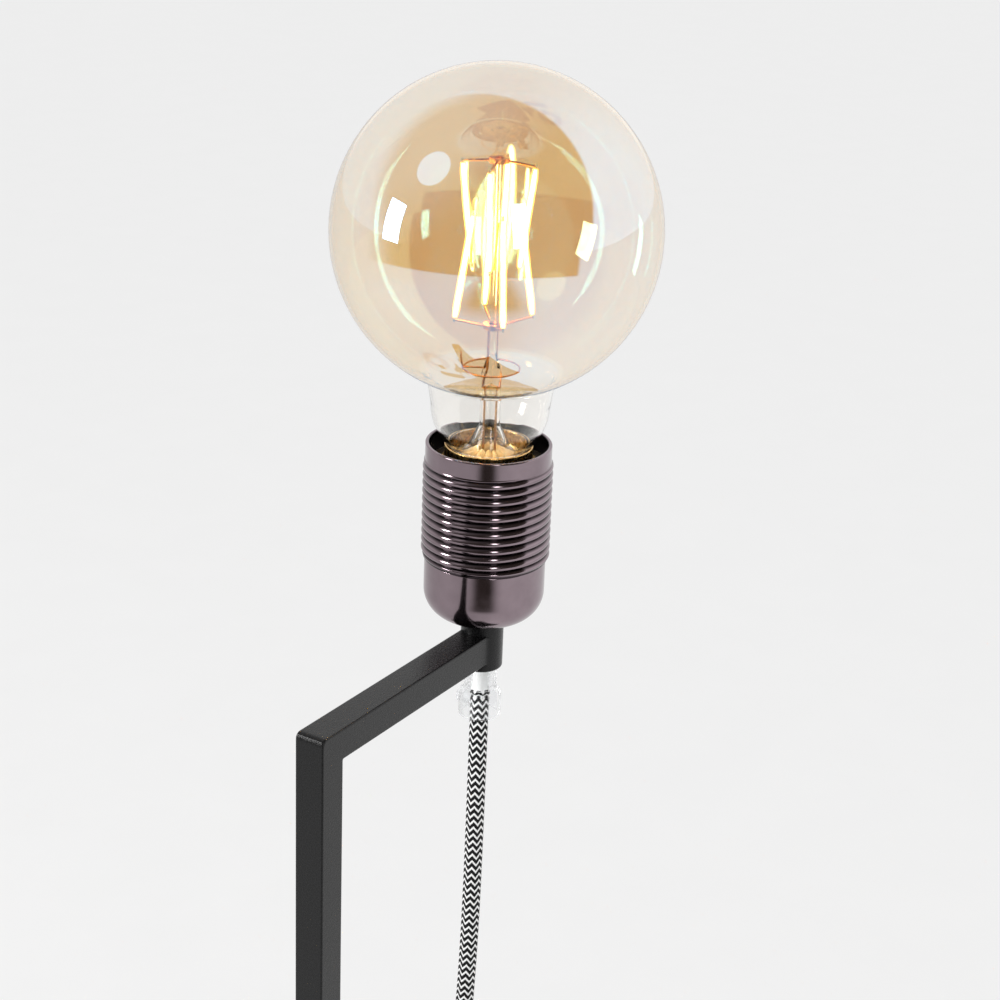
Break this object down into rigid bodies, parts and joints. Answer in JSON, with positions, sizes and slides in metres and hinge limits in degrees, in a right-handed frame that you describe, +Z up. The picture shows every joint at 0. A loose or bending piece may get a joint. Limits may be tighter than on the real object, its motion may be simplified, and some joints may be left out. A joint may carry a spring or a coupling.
{
  "type": "table lamp",
  "caption": "Table lamp of square black bar with a mitred arm, a pearl-black screw-shell lamp holder, a clear amber globe filament bulb and a zigzag textile cord with in-line switch.",
  "frame": {"origin": "on the table under the middle of the base plate, on the underside of the felt pad", "axes": "+Z up, +X from the post along the arm to the lamp holder, +Y the side where the cord leaves"},
  "size_m": [0.1518, 0.2409, 0.4205],
  "materials": {
    "black_powder_coat": "fine textured matt powder coat",
    "black_felt": "felt",
    "zinc_steel": "zinc plated",
    "black_pearl": "polished black nickel",
    "black_insulation": "moulded",
    "white_porcelain": "unglazed",
    "brass": "bright",
    "nickel": "nickel plated",
    "amber_glass": "clear, amber coated",
    "clear_glass": "clear",
    "lit_filament": "phosphor coat, lit",
    "black_glass": "fused glass",
    "green_board": "circuit board",
    "black_capacitor": "sleeved",
    "clear_plastic": "clear moulded",
    "zigzag_textile": "black and white zigzag braid",
    "black_strap": "woven strap",
    "black_plastic": "moulded",
    "brown_insulation": "wire insulation",
    "blue_insulation": "wire insulation"
  },
  "bodies": {
    "frame": {"arm": "black_powder_coat", "base_pad": "black_felt", "base_plate": "black_powder_coat", "boss": "black_powder_coat", "centre_contact": "brass", "clamp_screw": "clear_plastic", "cord_coil": "zigzag_textile", "cord_drop": "zigzag_textile", "cord_grip": "clear_plastic", "cord_link": "zigzag_textile", "cord_tail": "zigzag_textile", "cord_tie": "black_strap", "holder_dome": "black_pearl", "holder_insert": "white_porcelain", "holder_liner": "black_insulation", "holder_nut": "zinc_steel", "holder_shell": "black_pearl", "live_wire": "brown_insulation", "neutral_wire": "blue_insulation", "nipple": "zinc_steel", "pin_sheaths": "black_plastic", "plug_body": "black_plastic", "plug_pins": "nickel", "post": "black_powder_coat", "post_pin": "zinc_steel", "post_screw": "zinc_steel", "rocker_pin": "zinc_steel", "screw_sleeve": "brass", "switch_base": "black_plastic", "switch_blade": "brass", "switch_cover": "black_plastic", "switch_screws": "zinc_steel", "switch_terminals": "brass", "terminal_screws": "brass"},
    "bulb_lift": {"bulb_contact": "nickel"},
    "bulb": {"bulb_cap": "brass", "cap_insulator": "black_glass", "bulb_envelope": "amber_glass", "bulb_stem": "clear_glass", "top_star": "nickel", "foot_star": "nickel", "filament_links": "nickel", "lead_wires": "nickel", "getter": "brass", "driver_board": "green_board", "driver_capacitor": "black_capacitor", "upper_filament_1": "lit_filament", "upper_filament_2": "lit_filament", "upper_filament_3": "lit_filament", "upper_filament_4": "lit_filament", "lower_filament_1": "lit_filament", "lower_filament_2": "lit_filament", "lower_filament_3": "lit_filament", "lower_filament_4": "lit_filament"},
    "rocker": {"switch_rocker": "black_plastic"}
  },
  "joints": [
    {"name": "bulb_lift", "type": "slide", "parent": "frame", "child": "bulb_lift", "axis": [0, 0, 1], "range_m": [0, 0.0146]},
    {"name": "bulb_turn", "type": "hinge", "parent": "bulb_lift", "child": "bulb", "pos_m": [0.026, 0, 0.3], "axis": [0, 0, 1], "range_deg": [0, 1440]},
    {"name": "switch_rock", "type": "hinge", "parent": "frame", "child": "rocker", "pos_m": [0.047, 0.118, 0.014], "axis": [1, 0, 0], "range_deg": [-18, 0]}
  ],
  "couplings": [
    {"joint": "bulb_lift", "follows": "bulb_turn", "m_per_rad": 0.00057757}
  ]
}
